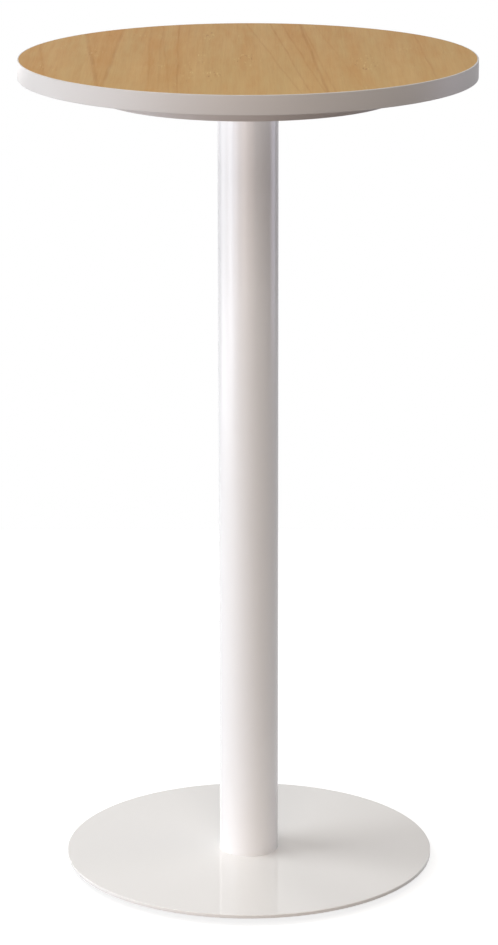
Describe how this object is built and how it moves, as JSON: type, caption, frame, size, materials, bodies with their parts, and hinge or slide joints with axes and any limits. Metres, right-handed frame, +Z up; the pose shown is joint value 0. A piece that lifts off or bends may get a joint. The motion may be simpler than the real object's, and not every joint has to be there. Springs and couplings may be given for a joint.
{
  "type": "standing meeting table",
  "caption": "Round standing-height meeting table: wood-look top on a support disc, steel column and thin round steel base with levelling glides.",
  "frame": {"origin": "on the floor, on the column's axis, glides fully screwed in", "axes": "+Z up along the column; the top's wood grain runs along Y; the front is -Y"},
  "size_m": [0.5999, 0.6, 1.11],
  "materials": {
    "oak_decor_laminate": "satin oak-look decor laminate, grain along Y",
    "white_laminate": "matt white laminate",
    "white_edge_band": "satin white ABS edging",
    "particleboard": "raw particleboard",
    "white_powder_coat": "semi-gloss white powder coat on steel",
    "zinc_screws": "zinc-plated steel",
    "brass_inserts": "turned brass",
    "glide_nylon": "natural white nylon"
  },
  "bodies": {
    "table": {"tabletop_core": "particleboard", "tabletop_decor_laminate": "oak_decor_laminate", "tabletop_backing_laminate": "white_laminate", "tabletop_edge_band": "white_edge_band", "support_disc_core": "particleboard", "support_disc_upper_laminate": "white_laminate", "support_disc_lower_laminate": "white_laminate", "support_disc_edge_band": "white_edge_band", "disc_screws": "zinc_screws", "threaded_inserts": "brass_inserts", "flange_screws": "zinc_screws", "column_flange": "white_powder_coat", "column_tube": "white_powder_coat", "column_foot_plug": "white_powder_coat", "column_welds": "white_powder_coat", "base_plate": "white_powder_coat", "base_bolts": "zinc_screws", "glide_studs": "zinc_screws"},
    "foot_1": {"glide_foot_1": "glide_nylon"},
    "nut_1": {"levelling_nut_1": "zinc_screws"},
    "foot_2": {"glide_foot_2": "glide_nylon"},
    "nut_2": {"levelling_nut_2": "zinc_screws"},
    "foot_3": {"glide_foot_3": "glide_nylon"},
    "nut_3": {"levelling_nut_3": "zinc_screws"},
    "foot_4": {"glide_foot_4": "glide_nylon"},
    "nut_4": {"levelling_nut_4": "zinc_screws"},
    "foot_5": {"glide_foot_5": "glide_nylon"},
    "nut_5": {"levelling_nut_5": "zinc_screws"},
    "foot_6": {"glide_foot_6": "glide_nylon"},
    "nut_6": {"levelling_nut_6": "zinc_screws"}
  },
  "joints": [
    {"name": "foot_1_extend", "type": "slide", "parent": "table", "child": "foot_1", "axis": [0, 0, -1], "range_m": [0, 0.0035]},
    {"name": "nut_1_turn", "type": "hinge", "parent": "foot_1", "child": "nut_1", "pos_m": [0.21, 0, 0.004], "axis": [0, 0, -1], "range_deg": [0, 1008]},
    {"name": "foot_2_extend", "type": "slide", "parent": "table", "child": "foot_2", "axis": [0, 0, -1], "range_m": [0, 0.0035]},
    {"name": "nut_2_turn", "type": "hinge", "parent": "foot_2", "child": "nut_2", "pos_m": [0.105, 0.18186, 0.004], "axis": [0, 0, -1], "range_deg": [0, 1008]},
    {"name": "foot_3_extend", "type": "slide", "parent": "table", "child": "foot_3", "axis": [0, 0, -1], "range_m": [0, 0.0035]},
    {"name": "nut_3_turn", "type": "hinge", "parent": "foot_3", "child": "nut_3", "pos_m": [-0.105, 0.18186, 0.004], "axis": [0, 0, -1], "range_deg": [0, 1008]},
    {"name": "foot_4_extend", "type": "slide", "parent": "table", "child": "foot_4", "axis": [0, 0, -1], "range_m": [0, 0.0035]},
    {"name": "nut_4_turn", "type": "hinge", "parent": "foot_4", "child": "nut_4", "pos_m": [-0.21, 0, 0.004], "axis": [0, 0, -1], "range_deg": [0, 1008]},
    {"name": "foot_5_extend", "type": "slide", "parent": "table", "child": "foot_5", "axis": [0, 0, -1], "range_m": [0, 0.0035]},
    {"name": "nut_5_turn", "type": "hinge", "parent": "foot_5", "child": "nut_5", "pos_m": [-0.105, -0.18186, 0.004], "axis": [0, 0, -1], "range_deg": [0, 1008]},
    {"name": "foot_6_extend", "type": "slide", "parent": "table", "child": "foot_6", "axis": [0, 0, -1], "range_m": [0, 0.0035]},
    {"name": "nut_6_turn", "type": "hinge", "parent": "foot_6", "child": "nut_6", "pos_m": [0.105, -0.18186, 0.004], "axis": [0, 0, -1], "range_deg": [0, 1008]}
  ],
  "couplings": [
    {"joint": "foot_1_extend", "follows": "nut_1_turn", "m_per_rad": 0.00019894},
    {"joint": "foot_2_extend", "follows": "nut_2_turn", "m_per_rad": 0.00019894},
    {"joint": "foot_3_extend", "follows": "nut_3_turn", "m_per_rad": 0.00019894},
    {"joint": "foot_4_extend", "follows": "nut_4_turn", "m_per_rad": 0.00019894},
    {"joint": "foot_5_extend", "follows": "nut_5_turn", "m_per_rad": 0.00019894},
    {"joint": "foot_6_extend", "follows": "nut_6_turn", "m_per_rad": 0.00019894}
  ]
}
